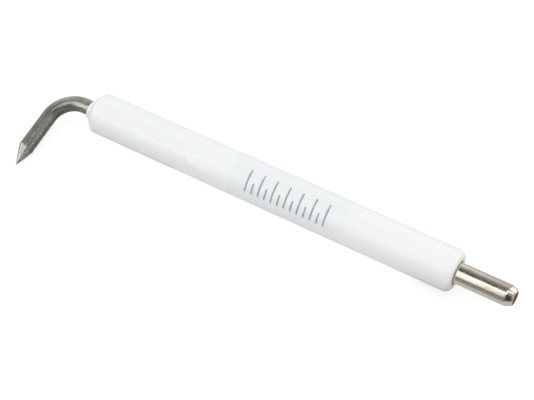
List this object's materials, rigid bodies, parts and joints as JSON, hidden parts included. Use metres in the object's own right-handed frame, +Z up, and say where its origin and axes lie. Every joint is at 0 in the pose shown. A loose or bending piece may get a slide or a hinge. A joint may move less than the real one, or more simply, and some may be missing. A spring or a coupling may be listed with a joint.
{
  "type": "ignition electrode",
  "caption": "Burner ignition electrode: pointed rod bent at a right angle, cemented in a glazed ceramic insulator, with a push-on terminal sleeve.",
  "frame": {"origin": "on the insulator's axis, at the middle of its length", "axes": "+X along the insulator's axis towards the terminal, +Z up with the part lying at rest; the rod's leg points to -Y and dips towards the surface"},
  "size_m": [0.0965, 0.0209, 0.0082],
  "materials": {
    "glazed_ceramic": "gloss",
    "rod_alloy": "satin",
    "nickel_plate": "polished",
    "cement": "matte",
    "clear_film": "gloss",
    "print_ink": "matte"
  },
  "bodies": {
    "root": {"insulator": "glazed_ceramic", "electrode_rod": "rod_alloy", "terminal_sleeve": "nickel_plate", "front_cement": "cement", "rear_cement": "cement", "label_film": "clear_film"}
  },
  "joints": []
}
